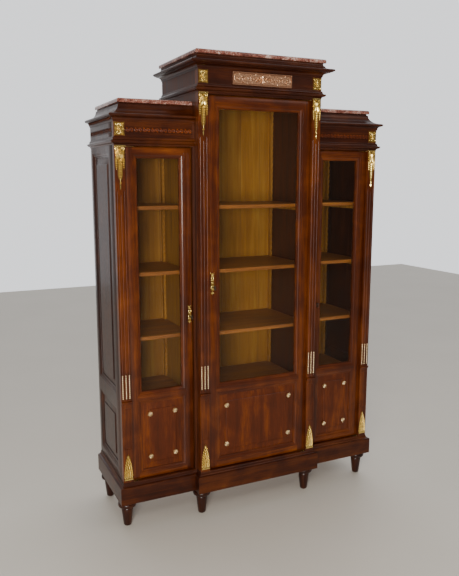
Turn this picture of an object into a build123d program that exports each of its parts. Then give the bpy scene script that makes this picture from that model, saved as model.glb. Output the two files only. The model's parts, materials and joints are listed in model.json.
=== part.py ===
from build123d import *
from dataclasses import dataclass
import os

os.makedirs("parts", exist_ok=True)

# Breakfront bookcase: a tall centre section between two lower side sections.
# Millimetres. Origin on the floor under the middle of the whole; +X right, +Y to the back, +Z up.

# Overall
HEIGHT = 2250.0
DEPTH = 529.0               # back to the tip of the centre cornice
HALF_WIDTH = 707.0          # middle to the outer face of a side section
HALF_CENTRE = 327.0         # middle to the outer face of the centre section
BREAK = 48.0                # how far the centre section stands forward
BACK = DEPTH / 2
CORNICE_REACH = 48.0        # overhang of the centre cornice
SIDE_CORNICE_REACH = 25.0
CORNICE_INNER = -60.0       # inner face of the cornice frames
FRONT_CENTRE = -DEPTH / 2 + CORNICE_REACH
FRONT_SIDE = FRONT_CENTRE + BREAK

# Levels
FOOT_TOP = 134.5
PLINTH_TOP = 240.0
WAIST = 616.0               # top of the fixed deck, level with the doors' middle rail
SIDE_OPENING_TOP = 1823.0
CENTRE_OPENING_TOP = 2058.0
SIDE_BODY_TOP = 1926.0
CENTRE_BODY_TOP = 2164.0
MARBLE = 19.0
SIDE_MARBLE_BASE = 2012.0
CENTRE_MARBLE_BASE = HEIGHT - MARBLE

# Boards
GLUE = 0.1                  # glue line between joined members
WALL = 24.0                 # outer side walls
PARTITION = 22.0
INNER_WALL = 11.0
BOARD = 18.0                # decks, top boards and shelves
BACK_BOARD = 16.0
PILASTER_WIDTH = 50.0
PILASTER_DEPTH = 30.0
FRIEZE_BOARD = 22.0

# Doors
DOOR = 22.0
RECESS = 14.0               # door face behind the pilasters
HINGE_GAP = 1.0
FREE_GAP = 3.0
SILL_GAP = 3.0
REBATE = 7.0
REBATE_DEPTH = 12.0         # from the door's face to the glass
GLASS = 3.0

# Pivots
PIN_RADIUS = 3.0
PIN_FIT = 0.05
PIN_LENGTH = 7.0
PIN_INSET = 4.5             # from the door's hinge edge
PIN_FORWARD = 8.0           # in front of the door's face
ARM = 2.0
ARM_EYE = 4.5               # half width of the arm round its pin
PIVOT_PLATE = 3.0

# Shelves, racks and battens
RACK_THICK = 12.0
RACK_STEM = 20.0
TOOTH = 8.0
PITCH = 31.0
BATTEN_HEIGHT = 20.0
SHELF_SEATS = {"top": 29, "middle": 19, "bottom": 9}    # tooth that holds each shelf's battens
SHELF_PLAY = 1.5
SEAT_GAP = 0.3

# Locks and keys
KEY_RADIUS = 2.5
KEYHOLE = 1.0               # room round the key's stem
STRIKE_DEPTH = 9.0


@dataclass
class Section:
    name: str
    walls: tuple            # inner faces of the compartment
    door: tuple             # door edges
    sight: tuple            # edges of the glass and of the panel opening
    front: float            # plane of the pilasters' faces
    opening_top: float
    door_levels: tuple      # bottom rail top, middle rail bottom, middle rail top, top rail bottom
    hinge: int              # -1 hinged at the left, +1 at the right
    key: tuple              # key axis: x and height
    plate: tuple            # escutcheon: half width, bottom, top

    def opening(self):
        """The clear opening in the carcass, as an x range."""
        low_gap, high_gap = (HINGE_GAP, FREE_GAP) if self.hinge < 0 else (FREE_GAP, HINGE_GAP)
        return self.door[0] - low_gap, self.door[1] + high_gap


SIDE_LEVELS = (284.0, WAIST, 678.0, 1770.0)
side_wall = HALF_WIDTH - WALL
side_door = (HALF_CENTRE + INNER_WALL + FREE_GAP, HALF_WIDTH - PILASTER_WIDTH - HINGE_GAP)
side_walls = (HALF_CENTRE + INNER_WALL, side_wall)
centre_wall = HALF_CENTRE - PARTITION
centre_edge = HALF_CENTRE - PILASTER_WIDTH

SECTIONS = [
    Section("left", (-side_walls[1], -side_walls[0]), (-side_door[1], -side_door[0]), (-600.0, -397.0),
            FRONT_SIDE, SIDE_OPENING_TOP, SIDE_LEVELS, -1, (-354.6, 1024.0), (11.0, 987.0, 1081.0)),
    Section("centre", (-centre_wall, centre_wall), (FREE_GAP - centre_edge, centre_edge - HINGE_GAP),
            (-213.0, 213.0), FRONT_CENTRE, CENTRE_OPENING_TOP, (296.0, WAIST, 682.0, 1996.0), 1,
            (-255.0, 1166.0), (13.0, 1121.0, 1239.0)),
    Section("right", side_walls, side_door, (397.0, 600.0),
            FRONT_SIDE, SIDE_OPENING_TOP, SIDE_LEVELS, 1, (354.6, 1024.0), (11.0, 987.0, 1081.0)),
]
# Each pilaster: middle in x, face in y, top of the body, top of its pendant
PILASTERS = []
for hand in (-1, 1):
    PILASTERS.append((hand * (HALF_WIDTH - PILASTER_WIDTH / 2), FRONT_SIDE, SIDE_BODY_TOP, 1825.0))
    PILASTERS.append((hand * (HALF_CENTRE - PILASTER_WIDTH / 2), FRONT_CENTRE, CENTRE_BODY_TOP, 2066.0))


def block(x, y, z, mode=Mode.ADD):
    """A board between two corners, each axis given as (low, high)."""
    with Locations((sum(x) / 2, sum(y) / 2, sum(z) / 2)):
        Box(abs(x[1] - x[0]), abs(y[1] - y[0]), abs(z[1] - z[0]), mode=mode)


def upright(x, y, z_low, z_high, radius, mode=Mode.ADD):
    """A vertical round bar or hole."""
    with Locations((x, y, (z_low + z_high) / 2)):
        Cylinder(radius, abs(z_high - z_low), mode=mode)


def moulding(route, profile):
    """A mitred moulding. The route follows the body in plan, from the left back corner or
    from a corner's front; the profile's points are (reach outwards, height)."""
    with BuildLine() as path:
        Polyline(*route)
    start = Plane(origin=(route[0][0], route[0][1], 0), x_dir=(-1, 0, 0), z_dir=(0, 1, 0))
    with BuildSketch(start) as section:
        with BuildLine():
            Polyline(*profile, close=True)
        make_face()
    sweep(sections=section.sketch, path=path.line, transition=Transition.RIGHT)


def save(piece, name):
    piece.part.label = name
    export_step(piece.part, f"parts/{name}.step")


# --- Base -------------------------------------------------------------------------------------

FEET = [(hand * x, y) for hand in (-1, 1)
        for x, y in ((681.0, FRONT_SIDE + 45), (303.0, FRONT_CENTRE + 50), (680.0, BACK - 60))]

with BuildPart() as feet:                       # turned feet: a collar over a tapering body
    with BuildSketch(Plane.XZ) as turned:
        with BuildLine():
            Polyline((0, FOOT_TOP), (41, FOOT_TOP))
            ThreePointArc((41, FOOT_TOP), (45, 123), (41, 112))
            Polyline((41, 112), (25, 110), (25, 106))
            ThreePointArc((25, 106), (29, 98), (28, 88))
            Polyline((28, 88), (20, 8))
            ThreePointArc((20, 8), (17, 2.5), (12, 0))
            Polyline((12, 0), (0, 0), (0, FOOT_TOP))
        make_face()
    turn = revolve(axis=Axis.Z, mode=Mode.PRIVATE)
    for x, y in FEET:
        add(turn.moved(Location((x, y, 0))))
save(feet, "feet")

PLINTH_REACH = 19.0
plinth_profile = [(-WALL, FOOT_TOP), (PLINTH_REACH, FOOT_TOP), (PLINTH_REACH, 216), (15, 222),
                  (9, 231), (3, 236), (0, PLINTH_TOP), (-WALL, PLINTH_TOP)]
front_outline = [(-HALF_WIDTH, BACK), (-HALF_WIDTH, FRONT_SIDE), (-HALF_CENTRE, FRONT_SIDE),
                 (-HALF_CENTRE, FRONT_CENTRE), (HALF_CENTRE, FRONT_CENTRE), (HALF_CENTRE, FRONT_SIDE),
                 (HALF_WIDTH, FRONT_SIDE), (HALF_WIDTH, BACK)]


def hinge_axis(section):
    """Where the door's pins stand: x and y."""
    edge = section.door[0] if section.hinge < 0 else section.door[1]
    return edge - section.hinge * PIN_INSET, section.front + RECESS - PIN_FORWARD


def plate_seat(section, grow):
    """The pivot plate's outline in plan, as x and y ranges."""
    x, y = hinge_axis(section)
    inward = x - section.hinge * (22.0 + grow)
    return sorted((x + section.hinge * (4.0 + grow), inward)), (y - 5.5 - grow, y + 7.0 + grow)


with BuildPart() as plinth:
    moulding(front_outline, plinth_profile)
    for section in SECTIONS:
        x, y = hinge_axis(section)
        block(*plate_seat(section, GLUE), (PLINTH_TOP - PIVOT_PLATE - GLUE, PLINTH_TOP), Mode.SUBTRACT)
        upright(x, y, PLINTH_TOP - 12, PLINTH_TOP, PIN_RADIUS + 1, Mode.SUBTRACT)
save(plinth, "plinth")

inside_back = BACK - BACK_BOARD - GLUE
leg = HALF_CENTRE - WALL                        # the plinth's inner faces beside the break

with BuildPart() as base_decks:
    deck_level = (PLINTH_TOP - BOARD, PLINTH_TOP)
    block((-leg + GLUE, leg - GLUE), (FRONT_CENTRE + WALL + GLUE, inside_back), deck_level)
    for hand in (-1, 1):
        block((hand * leg, hand * (side_wall - GLUE)), (FRONT_SIDE + WALL + GLUE, inside_back), deck_level)
save(base_decks, "base_decks")

# --- Carcass boards ---------------------------------------------------------------------------

with BuildPart() as fixed_decks:
    for section in SECTIONS:
        behind_door = section.front + RECESS + DOOR + 2
        block((section.walls[0] + GLUE, section.walls[1] - GLUE), (behind_door, inside_back),
              (WAIST - BOARD, WAIST))
save(fixed_decks, "fixed_decks")

with BuildPart() as top_boards:
    for section in SECTIONS:
        block((section.walls[0] + GLUE, section.walls[1] - GLUE),
              (section.front + PILASTER_DEPTH + GLUE, inside_back),
              (section.opening_top, section.opening_top + BOARD))
save(top_boards, "top_boards")

SIDE_STILE_FRONT = 95.0     # width of the side wall's front stile, pilaster edge included
SIDE_STILE_BACK = 33.0
SIDE_RAILS = ((PLINTH_TOP, 282.0), (592.0, 665.0), (1797.0, SIDE_BODY_TOP))
field_front = FRONT_SIDE + SIDE_STILE_FRONT
field_back = BACK - SIDE_STILE_BACK

with BuildPart() as side_frames:                # stiles and rails of the outer walls
    for hand in (-1, 1):
        wall = (hand * side_wall, hand * HALF_WIDTH)
        full = (PLINTH_TOP + GLUE, SIDE_BODY_TOP)
        block(wall, (FRONT_SIDE + PILASTER_DEPTH + GLUE, field_front), full)
        block(wall, (field_back, BACK), full)
        for low, high in SIDE_RAILS:
            block(wall, (field_front + GLUE, field_back - GLUE), (low + GLUE, high))
save(side_frames, "side_frames")

with BuildPart() as side_panels:                # raised and fielded, set back in the frames
    for hand in (-1, 1):
        for low, high in ((282.0, 592.0), (665.0, 1797.0)):
            thin = (hand * (side_wall + 2), hand * (HALF_WIDTH - 10))
            raised = (hand * (side_wall + 2), hand * (HALF_WIDTH - 5))
            block(thin, (field_front + GLUE, field_back - GLUE), (low + 2 * GLUE, high - GLUE))
            block(raised, (field_front + 45, field_back - 45), (low + 45, high - 45))
save(side_panels, "side_panels")


def bolt_range(section):
    """The bolt's section in the door's thickness: y and z ranges."""
    y = section.front + RECESS + 7.5
    return (y, y + 7.0), (section.key[1] + 11.0, section.key[1] + 25.0)


with BuildPart() as partitions:                 # between the sections, doubled by thin inner walls
    for hand in (-1, 1):
        block((hand * centre_wall, hand * HALF_CENTRE), (FRONT_CENTRE + PILASTER_DEPTH + GLUE, inside_back),
              (PLINTH_TOP + GLUE, CENTRE_BODY_TOP))
        block((hand * (HALF_CENTRE + GLUE), hand * (HALF_CENTRE + INNER_WALL)), (FRONT_SIDE, inside_back),
              (PLINTH_TOP + GLUE, SIDE_BODY_TOP))
    for section in (SECTIONS[0], SECTIONS[2]):  # strikes for the side doors' bolts
        hand = -1 if section.name == "left" else 1
        y, z = bolt_range(section)
        block((hand * (HALF_CENTRE + INNER_WALL - STRIKE_DEPTH), hand * (HALF_CENTRE + INNER_WALL)),
              (y[0] - 1, y[1] + 1), (z[0] - 1, z[1] + 1), Mode.SUBTRACT)
save(partitions, "partitions")

with BuildPart() as back_panels:
    back_range = (BACK - BACK_BOARD, BACK)
    block((-HALF_CENTRE, HALF_CENTRE), back_range, (FOOT_TOP, CENTRE_BODY_TOP))
    closed = HALF_CENTRE + CORNICE_INNER - GLUE     # the boards that close the cornices behind
    block((-closed, closed), back_range, (CENTRE_BODY_TOP + GLUE, CENTRE_MARBLE_BASE))
    for hand in (-1, 1):
        near = hand * (HALF_CENTRE + GLUE)
        block((near, hand * (side_wall - GLUE)), back_range, (FOOT_TOP, SIDE_BODY_TOP))
        closed = hand * (HALF_WIDTH + CORNICE_INNER - GLUE)
        block((near, closed), back_range, (SIDE_BODY_TOP + GLUE, SIDE_MARBLE_BASE))
save(back_panels, "back_panels")

# --- Pilasters, friezes and mouldings ---------------------------------------------------------

FLUTE_RADIUS = 4.0
FLUTE_SPACING = 16.0
LEDGE_REACH = 8.0

for name, hands_face in (("pilasters_side", FRONT_SIDE), ("pilasters_centre", FRONT_CENTRE)):
    with BuildPart() as pilaster:
        for x, face, top, pendant in PILASTERS:
            if face != hands_face:
                continue
            across = (x - PILASTER_WIDTH / 2, x + PILASTER_WIDTH / 2)
            block(across, (face, face + PILASTER_DEPTH), (PLINTH_TOP + GLUE, top))
            block(across, (face - LEDGE_REACH, face), (630, 648))
            for step in (-1, 0, 1):
                upright(x + step * FLUTE_SPACING, face, 655, pendant - 195, FLUTE_RADIUS, Mode.SUBTRACT)
        if hands_face == FRONT_CENTRE:          # strike for the centre door's bolt
            y, z = bolt_range(SECTIONS[1])
            block((-centre_edge - STRIKE_DEPTH, -centre_edge), (y[0] - 1, y[1] + 1),
                  (z[0] - 1, z[1] + 1), Mode.SUBTRACT)
    save(pilaster, name)

with BuildPart() as frieze_boards:
    for section in SECTIONS:
        top = CENTRE_BODY_TOP if section.name == "centre" else SIDE_BODY_TOP
        low, high = section.opening()
        block((low + GLUE, high - GLUE), (section.front, section.front + FRIEZE_BOARD),
              (section.opening_top, top))
    for section in SECTIONS:                    # seats for the pivot plates and room for the pins
        x, y = hinge_axis(section)
        low = section.opening_top
        block(*plate_seat(section, GLUE), (low, low + PIVOT_PLATE + GLUE), Mode.SUBTRACT)
        upright(x, y, low, low + 12, PIN_RADIUS + 1, Mode.SUBTRACT)
save(frieze_boards, "frieze_boards")

BAND = 3.0
with BuildPart() as carved_bands:               # interlaced band on the side sections' friezes
    for hand in (-1, 1):
        block((hand * 340.0, hand * 655.0), (FRONT_SIDE - BAND, FRONT_SIDE), (1881, 1904))
        block((hand * HALF_WIDTH, hand * (HALF_WIDTH + BAND)), (FRONT_SIDE + 40, BACK - 12), (1881, 1904))
save(carved_bands, "carved_bands")

side_route = [(-HALF_WIDTH, BACK), (-HALF_WIDTH, FRONT_SIDE), (-HALF_CENTRE - GLUE, FRONT_SIDE)]
centre_route = [(-HALF_CENTRE, BACK), (-HALF_CENTRE, FRONT_CENTRE), (HALF_CENTRE, FRONT_CENTRE),
                (HALF_CENTRE, BACK)]


def architrave(base, reach):
    return [(0, base), (reach * 0.5, base + 7), (reach, base + 12), (reach, base + 20),
            (reach * 0.6, base + 25), (reach * 0.3, base + 31), (3, base + 37), (0, base + 37)]


with BuildPart() as architraves:
    moulding(side_route, architrave(SIDE_OPENING_TOP + 3, 17))
    mirror(about=Plane.YZ)
    moulding(centre_route, architrave(CENTRE_OPENING_TOP + 8, 18))
save(architraves, "architraves")

with BuildPart() as cornice_sides:
    moulding(side_route, [(CORNICE_INNER, 1926), (0, 1926), (3, 1936), (12, 1946), (23, 1950),
                          (SIDE_CORNICE_REACH, 1953), (SIDE_CORNICE_REACH, 1958), (20, 1963), (-20, 1973),
                          (-28, 1982), (-36, 1996), (-39, SIDE_MARBLE_BASE),
                          (CORNICE_INNER, SIDE_MARBLE_BASE)])
    mirror(about=Plane.YZ)
save(cornice_sides, "cornice_sides")

with BuildPart() as cornice_centre:
    moulding(centre_route, [(CORNICE_INNER, 2164), (0, 2164), (6, 2173), (22, 2183), (43, 2191),
                            (CORNICE_REACH, 2194), (CORNICE_REACH, 2199), (44, 2203), (25, 2207),
                            (11, 2217), (6, CENTRE_MARBLE_BASE), (CORNICE_INNER, CENTRE_MARBLE_BASE)])
save(cornice_centre, "cornice_centre")

SIDE_MARBLE_INSET = 28.0
CENTRE_MARBLE_REACH = 16.0
with BuildPart() as marble_sides:
    for hand in (-1, 1):
        with BuildSketch(Plane.XY.offset(SIDE_MARBLE_BASE)):
            outer = hand * (HALF_WIDTH - SIDE_MARBLE_INSET)
            with BuildLine():
                Polyline((hand * (HALF_CENTRE + GLUE), BACK), (hand * (HALF_CENTRE + GLUE),
                         FRONT_SIDE + SIDE_MARBLE_INSET), (outer, FRONT_SIDE + SIDE_MARBLE_INSET),
                         (outer, BACK), close=True)
            make_face()
        extrude(amount=MARBLE)
    front_edges = marble_sides.edges().filter_by(Axis.X).group_by(Axis.Y)[0]
    fillet(front_edges, MARBLE * 0.3)
save(marble_sides, "marble_sides")

with BuildPart() as marble_centre:
    reach = HALF_CENTRE + CENTRE_MARBLE_REACH
    block((-reach, reach), (FRONT_CENTRE - CENTRE_MARBLE_REACH, BACK), (CENTRE_MARBLE_BASE, HEIGHT))
    fillet(marble_centre.edges().filter_by(Axis.X).group_by(Axis.Y)[0], MARBLE * 0.3)
save(marble_centre, "marble_centre")

# --- Gilt mounts on the carcass ---------------------------------------------------------------

MOUNT = 4.0
ROD_RADIUS = 3.0
with BuildPart() as frieze_mounts:              # square reliefs on the blocks, long relief in the middle
    for x, face, top, pendant in PILASTERS:
        block((x - 24, x + 24), (face - MOUNT, face), (top - 60, top - 1))
    block((-156, 156), (FRONT_CENTRE - 8, FRONT_CENTRE), (2106, 2163))
save(frieze_mounts, "frieze_mounts")

with BuildPart() as pilaster_mounts:            # pendants, bead rods in the flutes, foliage below
    for x, face, top, pendant in PILASTERS:
        with BuildSketch(Plane(origin=(x, face - GLUE, 0), x_dir=(1, 0, 0), z_dir=(0, -1, 0))):
            with BuildLine():                   # pendant
                Polyline((-23, pendant), (23, pendant), (21, pendant - 75), (11, pendant - 130),
                         (4, pendant - 197), (-4, pendant - 197), (-11, pendant - 130),
                         (-21, pendant - 75), close=True)
            make_face()
            with BuildLine():                   # foliage
                Polyline((-21, 254), (21, 254), (9, 320), (2, 384), (-2, 384), (-9, 320), close=True)
            make_face()
        extrude(amount=6)
        rod_base = 658.0 if face == FRONT_SIDE else 667.0
        for step in (-1, 0, 1):
            upright(x + step * FLUTE_SPACING, face - 0.8, rod_base, rod_base + 117, ROD_RADIUS)
save(pilaster_mounts, "pilaster_mounts")

with BuildPart() as pivot_plates:
    for section in SECTIONS:
        x, y = hinge_axis(section)
        for low in (PLINTH_TOP - PIVOT_PLATE, section.opening_top):
            block(*plate_seat(section, 0), (low, low + PIVOT_PLATE))
            upright(x, y, low, low + PIVOT_PLATE, PIN_RADIUS + PIN_FIT, Mode.SUBTRACT)
save(pivot_plates, "pivot_plates")

# --- Racks, battens and shelves ---------------------------------------------------------------


def rack_faces(section):
    """Where the teeth are cut: bottom of the notches at the front and at the back."""
    return section.front + RECESS + DOOR + SHELF_PLAY + RACK_STEM, inside_back - GLUE - RACK_STEM


def rack_strips(section):
    """The racks' thickness along x at each wall, and the batten's."""
    low, high = section.walls
    return ((low + GLUE, low + RACK_THICK), (high - RACK_THICK, high - GLUE))


def seat_level(tooth):
    return WAIST + 1 + tooth * PITCH


with BuildPart() as racks:
    for section in SECTIONS:
        teeth = int((section.opening_top - WAIST - 2) / PITCH)
        front_notch, back_notch = rack_faces(section)
        for notch, inward in ((front_notch, 1), (back_notch, -1)):
            stem, tip = notch - inward * RACK_STEM, notch + inward * TOOTH
            outline = [(stem, WAIST + GLUE), (tip, WAIST + GLUE)]
            for tooth in range(teeth):
                outline += [(tip, seat_level(tooth)), (notch, seat_level(tooth))]
            outline += [(tip, seat_level(teeth)), (stem, seat_level(teeth))]
            for low, high in rack_strips(section):
                with BuildSketch(Plane(origin=(low, 0, 0), x_dir=(0, 1, 0), z_dir=(1, 0, 0))):
                    with BuildLine():
                        Polyline(*outline, close=True)
                    make_face()
                extrude(amount=high - low)
save(racks, "racks")

with BuildPart() as battens:
    slant = TOOTH * BATTEN_HEIGHT / PITCH
    for section in SECTIONS:
        front_notch, back_notch = rack_faces(section)
        for tooth in SHELF_SEATS.values():
            base = seat_level(tooth) + GLUE
            for low, high in rack_strips(section):
                with BuildSketch(Plane(origin=(low, 0, 0), x_dir=(0, 1, 0), z_dir=(1, 0, 0))):
                    with BuildLine():
                        Polyline((front_notch + GLUE, base), (back_notch - GLUE, base),
                                 (back_notch - GLUE - slant, base + BATTEN_HEIGHT),
                                 (front_notch + GLUE + slant, base + BATTEN_HEIGHT), close=True)
                    make_face()
                extrude(amount=high - low)
save(battens, "battens")

for section in SECTIONS:
    front_notch, back_notch = rack_faces(section)
    shelf_front = front_notch + 1
    shelf_back = inside_back - SHELF_PLAY
    low, high = section.walls
    for place, tooth in SHELF_SEATS.items():
        base = seat_level(tooth) + GLUE + BATTEN_HEIGHT + SEAT_GAP
        with BuildPart() as shelf:
            block((low + SHELF_PLAY, high - SHELF_PLAY), (shelf_front, shelf_back), (base, base + BOARD))
            for corner, inward in ((low, 1), (high, -1)):
                cut = (corner, corner + inward * (RACK_THICK + SHELF_PLAY))
                whole = (base - 1, base + BOARD + 1)
                block(cut, (shelf_front - 1, front_notch + TOOTH + SHELF_PLAY), whole, Mode.SUBTRACT)
                block(cut, (back_notch - TOOTH - SHELF_PLAY, shelf_back + 1), whole, Mode.SUBTRACT)
            nosing = shelf.edges().filter_by(Axis.X).group_by(Axis.Y)[0]
            fillet(nosing, 2)
        save(shelf, f"shelf_{section.name}_{place}")

# --- Doors ------------------------------------------------------------------------------------

for section in SECTIONS:
    face = section.front + RECESS
    rear = face + DOOR
    door_low, door_high = section.door
    sight_low, sight_high = section.sight
    bottom = PLINTH_TOP + SILL_GAP
    top = section.opening_top - SILL_GAP
    panel_low, panel_high, glass_low, glass_high = section.door_levels
    key_x, key_z = section.key
    free = -section.hinge                       # side of the free edge, seen along x
    free_edge = door_low if free < 0 else door_high
    bolt_y, bolt_z = bolt_range(section)
    case_x = sorted((free_edge - free * 0.1, free_edge - free * 38.0))
    case_y = (bolt_y[0] - 2.5, bolt_y[1] + 2.5)
    case_z = (key_z - 16, key_z + 30)

    with BuildPart() as frame:
        block((door_low, sight_low), (face, rear), (bottom, top))
        block((sight_high, door_high), (face, rear), (bottom, top))
        between = (sight_low + GLUE, sight_high - GLUE)
        for rail_low, rail_high in ((bottom, panel_low), (panel_high, glass_low), (glass_high, top)):
            block(between, (face, rear), (rail_low, rail_high))
        block((sight_low - REBATE, sight_high + REBATE), (face + REBATE_DEPTH, rear),
              (glass_low - REBATE, glass_high + REBATE), Mode.SUBTRACT)
        block((sight_low - REBATE, sight_high + REBATE), (face + 9, face + 15),
              (panel_low - REBATE, panel_high + REBATE), Mode.SUBTRACT)
        block(case_x, case_y, case_z, Mode.SUBTRACT)
        block((free_edge - free * 5, free_edge), case_y, case_z, Mode.SUBTRACT)
        with Locations(Plane(origin=(key_x, face, key_z), z_dir=(0, 1, 0))):
            Cylinder(KEY_RADIUS + KEYHOLE, 40, mode=Mode.SUBTRACT)
    save(frame, f"door_{section.name}_frame")

    with BuildPart() as glass:
        block((sight_low - REBATE + GLUE, sight_high + REBATE - GLUE),
              (face + REBATE_DEPTH + GLUE, face + REBATE_DEPTH + GLASS),
              (glass_low - REBATE + GLUE, glass_high + REBATE - GLUE))
    save(glass, f"door_{section.name}_glass")

    with BuildPart() as beads:                  # four strips that hold the glass from behind
        bead_y = (face + REBATE_DEPTH + GLASS + GLUE, rear)
        edge_low, edge_high = sight_low - REBATE + GLUE, sight_high + REBATE - GLUE
        foot, head = glass_low - REBATE + GLUE, glass_high + REBATE - GLUE
        block((edge_low, sight_low), bead_y, (foot, head))
        block((sight_high, edge_high), bead_y, (foot, head))
        block((sight_low + GLUE, sight_high - GLUE), bead_y, (foot, glass_low))
        block((sight_low + GLUE, sight_high - GLUE), bead_y, (glass_high, head))
    save(beads, f"door_{section.name}_beads")

    with BuildPart() as panel:                  # tongued into the frame, with a raised field
        block((sight_low - REBATE + 0.5, sight_high + REBATE - 0.5), (face + 9.3, face + 14.7),
              (panel_low - REBATE + 0.5, panel_high + REBATE - 0.5))
        block((sight_low + 18, sight_high - 18), (face + 3, face + 18), (panel_low + 18, panel_high - 18))
    save(panel, f"door_{section.name}_panel")

    with BuildPart() as mounts:                 # four rosettes, and the escutcheon round the keyhole
        inset = 35.0 if section.name == "centre" else 38.0
        rosettes = [(x, z) for x in (sight_low + inset, sight_high - inset)
                    for z in (panel_low + 61, panel_high - 55)]
        for x, z in rosettes:
            with BuildSketch(Plane(origin=(x, face + 3 - GLUE, z), z_dir=(0, -1, 0))):
                Circle(12)
            extrude(amount=6, taper=25)
        half, plate_low, plate_high = section.plate
        with BuildSketch(Plane(origin=(key_x, face - GLUE, 0), x_dir=(1, 0, 0), z_dir=(0, -1, 0))):
            with BuildLine():
                middle = (plate_low + plate_high) / 2
                Polyline((0, plate_low), (half, key_z), (half * 0.7, middle), (half, plate_high - 12),
                         (0, plate_high), (-half, plate_high - 12), (-half * 0.7, middle),
                         (-half, key_z), close=True)
            make_face()
            with Locations((0, key_z)):
                Circle(KEY_RADIUS + KEYHOLE, mode=Mode.SUBTRACT)
        extrude(amount=3)
    save(mounts, f"door_{section.name}_mounts")

    with BuildPart() as lock:                   # mortised case with a channel for the bolt
        block((case_x[0] + GLUE, case_x[1] - GLUE), (case_y[0] + GLUE, case_y[1] - GLUE),
              (case_z[0] + GLUE, case_z[1] - GLUE))
        channel = sorted((free_edge + free * 2, free_edge - free * 27))
        block(channel, (bolt_y[0] - 0.4, bolt_y[1] + 0.4), (bolt_z[0] - 0.4, bolt_z[1] + 0.4),
              Mode.SUBTRACT)
        with Locations(Plane(origin=(key_x, (bolt_y[0] + bolt_y[1]) / 2, key_z), z_dir=(0, 1, 0))):
            Cylinder(10, bolt_y[1] - bolt_y[0], mode=Mode.SUBTRACT)
            Cylinder(KEY_RADIUS + 0.5, 40, mode=Mode.SUBTRACT)
    save(lock, f"door_{section.name}_lock")

    with BuildPart() as bolt:
        block((free_edge - free * 0.5, free_edge - free * 26), bolt_y, bolt_z)
    save(bolt, f"door_{section.name}_bolt")

    with BuildPart() as key:                    # round stem with a bit below and an open oval bow
        bow_y = face - 22.0
        with BuildSketch(Plane(origin=(key_x, bolt_y[1] - 1, key_z), z_dir=(0, -1, 0))):
            Circle(KEY_RADIUS)
        extrude(amount=bolt_y[1] - 1 - bow_y)
        block((key_x - 1.5, key_x + 1.5), (bolt_y[0] + 1, bolt_y[1] - 1), (key_z - 9, key_z))
        with BuildSketch(Plane(origin=(key_x - 1.5, bow_y - 9, key_z), x_dir=(0, 1, 0), z_dir=(1, 0, 0))):
            Ellipse(10, 12)
            Ellipse(6, 8, mode=Mode.SUBTRACT)
        extrude(amount=3)
    save(key, f"door_{section.name}_key")

    with BuildPart() as pivots:                 # cranked arms on the door's ends, each with a pin
        x, y = hinge_axis(section)
        edge = door_low if section.hinge < 0 else door_high
        for end, away in ((bottom, -1), (top, 1)):
            arm = (end, end + away * ARM)
            block((edge - section.hinge * 45, edge), (face + 2, face + 18), arm)
            block((x - ARM_EYE, x + ARM_EYE), (y, face + 3), arm)
            upright(x, y, *arm, ARM_EYE)
            upright(x, y, end, end + away * (ARM + PIN_LENGTH), PIN_RADIUS)
    save(pivots, f"door_{section.name}_pivots")
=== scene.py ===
import json
from math import atan2, cos, degrees, pi, radians, sin
import bmesh
import bpy
from mathutils import Matrix, Vector


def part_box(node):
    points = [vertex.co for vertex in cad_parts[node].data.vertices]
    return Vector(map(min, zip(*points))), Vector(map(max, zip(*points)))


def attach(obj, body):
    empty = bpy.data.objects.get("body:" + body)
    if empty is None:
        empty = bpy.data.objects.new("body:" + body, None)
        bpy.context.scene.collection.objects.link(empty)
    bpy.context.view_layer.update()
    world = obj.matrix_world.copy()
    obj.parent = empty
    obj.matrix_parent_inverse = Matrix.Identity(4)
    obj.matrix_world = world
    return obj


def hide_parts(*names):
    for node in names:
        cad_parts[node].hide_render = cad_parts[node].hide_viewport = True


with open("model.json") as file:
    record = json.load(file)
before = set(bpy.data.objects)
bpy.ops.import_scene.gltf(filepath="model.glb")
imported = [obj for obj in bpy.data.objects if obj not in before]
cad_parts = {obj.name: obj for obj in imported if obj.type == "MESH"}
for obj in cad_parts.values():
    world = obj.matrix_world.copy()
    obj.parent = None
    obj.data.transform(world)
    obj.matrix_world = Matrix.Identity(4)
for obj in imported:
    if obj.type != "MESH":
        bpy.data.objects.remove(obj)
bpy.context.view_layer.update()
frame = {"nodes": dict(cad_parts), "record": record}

# ------------------------------------------------------------
# The room: a pale floor, pale soft light all round, and a camera at a standing person's eye.
# The case stands with its middle at the origin, front to -Y, so the camera is left of centre.
MM = 0.001
EYE = (-1.4762, -2.9861, 1.6844)
CAMERA_TILT = (radians(80.26), 0.0, radians(-25.24))
LENS = 40.2


def only(piece):
    """Leaves this piece alone selected and active."""
    bpy.ops.object.select_all(action="DESELECT")
    piece.select_set(True)
    bpy.context.view_layer.objects.active = piece


bpy.ops.object.select_all(action="DESELECT")
bpy.ops.object.camera_add(location=EYE, rotation=CAMERA_TILT)
camera = bpy.context.object
camera.data.lens = LENS
bpy.context.scene.camera = camera

bpy.ops.mesh.primitive_plane_add(size=14.0, location=(0, 0, 0))
floor = bpy.context.object
floor.name = "floor"


def softbox(name, place, size, power, aim=(0.0, 0.0, 1.1)):
    """A square soft light that looks at a point on the case."""
    bpy.ops.object.light_add(type="AREA", location=place)
    light = bpy.context.object
    light.name = name
    light.data.shape = "RECTANGLE"
    light.data.size, light.data.size_y = size
    light.data.energy = power
    light.data.color = (1.0, 0.97, 0.93)
    light.rotation_euler = (Vector(aim) - Vector(place)).to_track_quat("-Z", "Y").to_euler()


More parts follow.
